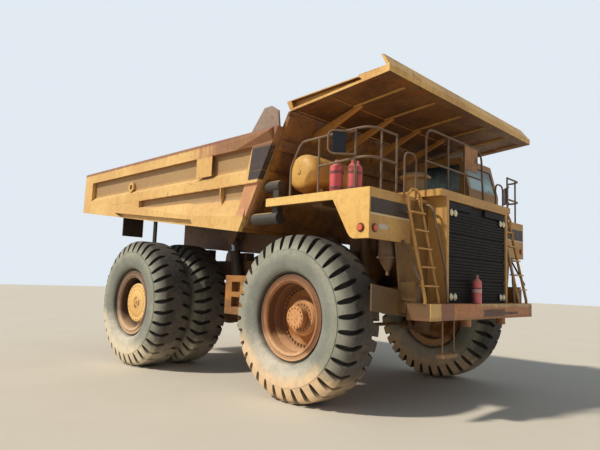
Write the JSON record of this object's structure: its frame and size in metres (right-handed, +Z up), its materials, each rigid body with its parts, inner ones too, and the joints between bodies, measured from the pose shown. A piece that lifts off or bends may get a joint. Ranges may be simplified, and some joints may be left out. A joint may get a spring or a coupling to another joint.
{
  "type": "mining dump truck",
  "caption": "Rigid mining dump truck: canopied tipping bed on twin hoists, steered front wheels, twin rear wheels, side decks, handrails and an offset cab.",
  "frame": {"origin": "middle of the box round the truck at rest, on the ground under its tyres", "axes": "+X to the truck's left side, where the cab stands; the front faces -Y; +Z up"},
  "size_m": [6.5838, 11.04, 5.8265],
  "materials": {
    "yellow_paint": "dusty paint with rust",
    "brown_paint": "dusty paint with rust",
    "tube_paint": "dusty paint",
    "dark_metal": "matt, sooty",
    "red_paint": "satin",
    "rim_paint": "rusty paint",
    "cast_steel": "oily and dusty",
    "bare_rod": "polished",
    "tyre": "dusty",
    "flap_rubber": "matt",
    "glass": "dusty",
    "lamp_lens": "clear",
    "marker_lens": "gloss",
    "seat": "worn"
  },
  "bodies": {
    "chassis": {"frame": "brown_paint", "front_axle": "cast_steel", "rear_axle": "cast_steel", "engine": "cast_steel", "hood": "yellow_paint", "grille": "dark_metal", "hood_walkway": "yellow_paint", "bumper": "brown_paint", "deck_right": "yellow_paint", "deck_left": "yellow_paint", "front_panels": "brown_paint", "cab_shell": "yellow_paint", "cab_hinges": "dark_metal", "cab_glass": "glass", "cab_seat": "seat", "ladders": "brown_paint", "hanging_step": "brown_paint", "handrails": "tube_paint", "mirrors": "dark_metal", "front_plate": "yellow_paint", "air_tank": "yellow_paint", "fire_bottles": "red_paint", "extinguisher": "red_paint", "precleaner": "brown_paint", "air_cleaners": "brown_paint", "headlamps": "lamp_lens", "marker_lamps": "marker_lens", "hydraulic_tank": "yellow_paint", "fuel_tank": "yellow_paint", "exhaust_ducts": "dark_metal"},
    "bed": {"bed_floor": "brown_paint", "bed_beams": "brown_paint", "bed_sides": "yellow_paint", "bed_front_wall": "brown_paint", "bed_ears": "brown_paint", "bed_plate_panel": "yellow_paint", "canopy": "yellow_paint", "canopy_braces": "brown_paint", "rock_ejectors": "dark_metal", "tail_flaps": "flap_rubber"},
    "cab_door": {"cab_door": "yellow_paint", "door_glass": "glass"},
    "hoist_barrel_right": {"hoist_barrel_right": "dark_metal"},
    "hoist_stage_right": {"hoist_stage_right": "bare_rod"},
    "hoist_rod_right": {"hoist_rod_right": "bare_rod"},
    "knuckle_right": {"knuckle_right": "cast_steel"},
    "front_wheel_right": {"rim_front_right": "rim_paint", "tyre_front_right": "tyre"},
    "rear_wheels_right": {"rim_rear_right": "rim_paint", "tyres_rear_right": "tyre"},
    "hoist_barrel_left": {"hoist_barrel_left": "dark_metal"},
    "hoist_stage_left": {"hoist_stage_left": "bare_rod"},
    "hoist_rod_left": {"hoist_rod_left": "bare_rod"},
    "knuckle_left": {"knuckle_left": "cast_steel"},
    "front_wheel_left": {"rim_front_left": "rim_paint", "tyre_front_left": "tyre"},
    "rear_wheels_left": {"rim_rear_left": "rim_paint", "tyres_rear_left": "tyre"},
    "tie_rod": {"tie_rod": "cast_steel"}
  },
  "joints": [
    {"name": "bed_tip", "type": "hinge", "parent": "chassis", "child": "bed", "pos_m": [0, 2.99, 2.85], "axis": [-1, 0, 0], "range_deg": [0, 45]},
    {"name": "cab_door_hinge", "type": "hinge", "parent": "chassis", "child": "cab_door", "pos_m": [2.722, -3.364, 4.3], "axis": [0, 0, 1], "range_deg": [0, 80]},
    {"name": "hoist_swing_right", "type": "hinge", "parent": "chassis", "child": "hoist_barrel_right", "pos_m": [-0.995, 0.34, 1.2], "axis": [-1, 0, 0], "range_deg": [0, 7]},
    {"name": "hoist_stage_right", "type": "slide", "parent": "hoist_barrel_right", "child": "hoist_stage_right", "axis": [0, 0.2305, 0.9731], "range_m": [0, 0.85]},
    {"name": "hoist_rod_right", "type": "slide", "parent": "hoist_stage_right", "child": "hoist_rod_right", "axis": [0, 0.2305, 0.9731], "range_m": [0, 0.85]},
    {"name": "hoist_swing_left", "type": "hinge", "parent": "chassis", "child": "hoist_barrel_left", "pos_m": [0.995, 0.34, 1.2], "axis": [-1, 0, 0], "range_deg": [0, 7]},
    {"name": "hoist_stage_left", "type": "slide", "parent": "hoist_barrel_left", "child": "hoist_stage_left", "axis": [0, 0.2305, 0.9731], "range_m": [0, 0.85]},
    {"name": "hoist_rod_left", "type": "slide", "parent": "hoist_stage_left", "child": "hoist_rod_left", "axis": [0, 0.2305, 0.9731], "range_m": [0, 0.85]},
    {"name": "steer_left", "type": "hinge", "parent": "chassis", "child": "knuckle_left", "pos_m": [1.7, -3.11, 1.5], "axis": [0, 0, 1], "range_deg": [-36, 36]},
    {"name": "steer_right", "type": "hinge", "parent": "chassis", "child": "knuckle_right", "pos_m": [-1.7, -3.11, 1.5], "axis": [0, 0, 1], "range_deg": [-36, 36]},
    {"name": "tie_rod_pin", "type": "hinge", "parent": "knuckle_left", "child": "tie_rod", "pos_m": [1.7, -2.59, 1.235], "axis": [0, 0, 1], "range_deg": [-36, 36]},
    {"name": "front_wheel_left_spin", "type": "hinge", "parent": "knuckle_left", "child": "front_wheel_left", "pos_m": [2.41, -3.11, 1.5], "axis": [1, 0, 0], "continuous": true},
    {"name": "rear_wheels_left_spin", "type": "hinge", "parent": "chassis", "child": "rear_wheels_left", "pos_m": [2.155, 2.07, 1.5], "axis": [1, 0, 0], "continuous": true},
    {"name": "front_wheel_right_spin", "type": "hinge", "parent": "knuckle_right", "child": "front_wheel_right", "pos_m": [-2.41, -3.11, 1.5], "axis": [1, 0, 0], "continuous": true},
    {"name": "rear_wheels_right_spin", "type": "hinge", "parent": "chassis", "child": "rear_wheels_right", "pos_m": [-2.155, 2.07, 1.5], "axis": [1, 0, 0], "continuous": true}
  ],
  "couplings": [
    {"joint": "hoist_swing_right", "follows": "bed_tip", "ratio": 0.1326},
    {"joint": "hoist_stage_right", "follows": "bed_tip", "m_per_rad": 1.0719},
    {"joint": "hoist_rod_right", "follows": "bed_tip", "m_per_rad": 1.0719},
    {"joint": "hoist_swing_left", "follows": "bed_tip", "ratio": 0.1326},
    {"joint": "hoist_stage_left", "follows": "bed_tip", "m_per_rad": 1.0719},
    {"joint": "hoist_rod_left", "follows": "bed_tip", "m_per_rad": 1.0719},
    {"joint": "steer_right", "follows": "steer_left", "ratio": 1},
    {"joint": "tie_rod_pin", "follows": "steer_left", "ratio": -1}
  ]
}
